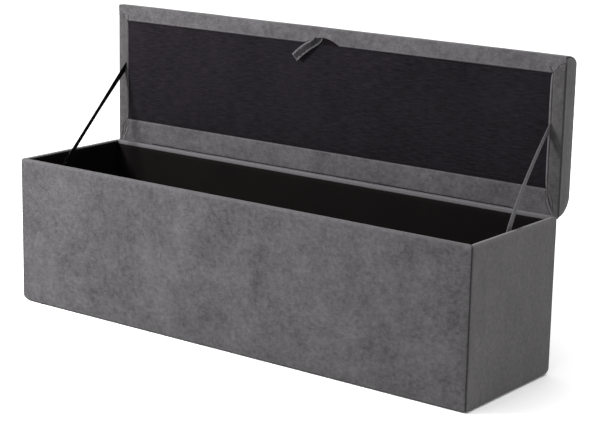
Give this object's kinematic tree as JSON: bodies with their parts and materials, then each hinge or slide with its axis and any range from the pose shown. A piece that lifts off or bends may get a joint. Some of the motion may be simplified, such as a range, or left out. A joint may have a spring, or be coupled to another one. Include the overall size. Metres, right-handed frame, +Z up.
{
  "type": "storage bench",
  "caption": "Long low upholstered storage bench with a hinged padded lid, held open by a folding fabric stay at each end, and a pull tab on the lid.",
  "frame": {"origin": "centre of the bounding box on the floor, with the lid open as at rest", "axes": "+X along the bench to its right as seen from the front, +Y from the front to the rear where the hinge is, +Z up"},
  "size_m": [1.5, 0.461, 0.8188],
  "materials": {
    "outer_fabric": "short brushed nap, mid grey",
    "stay_fabric": "folded strip of the cover fabric, dark on its inner face",
    "panel_fabric": "fine horizontal weave, charcoal",
    "lining_fabric": "thin non-woven, near black",
    "wadding": "thin polyester wadding",
    "foam": "cut upholstery foam",
    "board": "unfinished particle board",
    "cleat": "unfinished softwood",
    "hinge_metal": "darkened steel strip",
    "screw_metal": "zinc plated",
    "glide": "black moulded, matte"
  },
  "bodies": {
    "box": {"base_board": "board", "base_lining": "lining_fabric", "front_board": "board", "front_cleat": "cleat", "front_cover": "outer_fabric", "front_lining": "lining_fabric", "front_wadding": "wadding", "rear_board": "board", "rear_cleat": "cleat", "rear_cover": "outer_fabric", "rear_lining": "lining_fabric", "rear_wadding": "wadding", "left_board": "board", "left_cleat": "cleat", "left_cover": "outer_fabric", "left_lining": "lining_fabric", "left_wadding": "wadding", "right_board": "board", "right_cleat": "cleat", "right_cover": "outer_fabric", "right_lining": "lining_fabric", "right_wadding": "wadding", "box_hinge_screw_1": "screw_metal", "box_hinge_screw_2": "screw_metal", "box_hinge_screw_3": "screw_metal", "box_hinge_screw_4": "screw_metal", "box_hinge_screw_5": "screw_metal", "glide_front_left": "glide", "glide_front_middle": "glide", "glide_front_right": "glide", "glide_rear_left": "glide", "glide_rear_middle": "glide", "glide_rear_right": "glide", "hinge_box_leaf": "hinge_metal", "hinge_pin": "hinge_metal", "left_stay_screw": "screw_metal", "left_stay_washer": "screw_metal", "right_stay_screw": "screw_metal", "right_stay_washer": "screw_metal", "underside_cloth": "lining_fabric"},
    "lid": {"lid_board": "board", "seat_foam": "foam", "seat_cover": "outer_fabric", "left_end_cover": "outer_fabric", "right_end_cover": "outer_fabric", "lid_panel": "panel_fabric", "pull_tab": "outer_fabric", "hinge_lid_leaf": "hinge_metal", "lid_hinge_screw_1": "screw_metal", "lid_hinge_screw_2": "screw_metal", "lid_hinge_screw_3": "screw_metal", "lid_hinge_screw_4": "screw_metal", "lid_hinge_screw_5": "screw_metal", "left_stay_root": "stay_fabric", "right_stay_root": "stay_fabric"},
    "left_upper": {"left_stay_upper": "stay_fabric"},
    "left_lower": {"left_stay_lower": "stay_fabric"},
    "right_upper": {"right_stay_upper": "stay_fabric"},
    "right_lower": {"right_stay_lower": "stay_fabric"}
  },
  "joints": [
    {"name": "lid_hinge", "type": "hinge", "parent": "box", "child": "lid", "pos_m": [0, 0.1735, 0.4148], "axis": [1, 0, 0], "range_deg": [0, 90]},
    {"name": "left_stay_top", "type": "hinge", "parent": "lid", "child": "left_upper", "pos_m": [-0.7144, 0.16386, 0.62429], "axis": [1, 0, 0], "range_deg": [-12.4, 0]},
    {"name": "left_stay_fold", "type": "hinge", "parent": "left_upper", "child": "left_lower", "pos_m": [-0.7236, 0.04918, 0.5018], "axis": [1, 0, 0], "range_deg": [-166.6, 0]},
    {"name": "right_stay_top", "type": "hinge", "parent": "lid", "child": "right_upper", "pos_m": [0.7144, 0.16386, 0.62429], "axis": [1, 0, 0], "range_deg": [-12.4, 0]},
    {"name": "right_stay_fold", "type": "hinge", "parent": "right_upper", "child": "right_lower", "pos_m": [0.7236, 0.04918, 0.5018], "axis": [1, 0, 0], "range_deg": [-166.6, 0]}
  ],
  "couplings": [
    {"joint": "left_stay_top", "follows": "lid_hinge", "ratio": -0.13747},
    {"joint": "left_stay_fold", "follows": "lid_hinge", "ratio": -1.8508},
    {"joint": "right_stay_top", "follows": "lid_hinge", "ratio": -0.13747},
    {"joint": "right_stay_fold", "follows": "lid_hinge", "ratio": -1.8508}
  ]
}
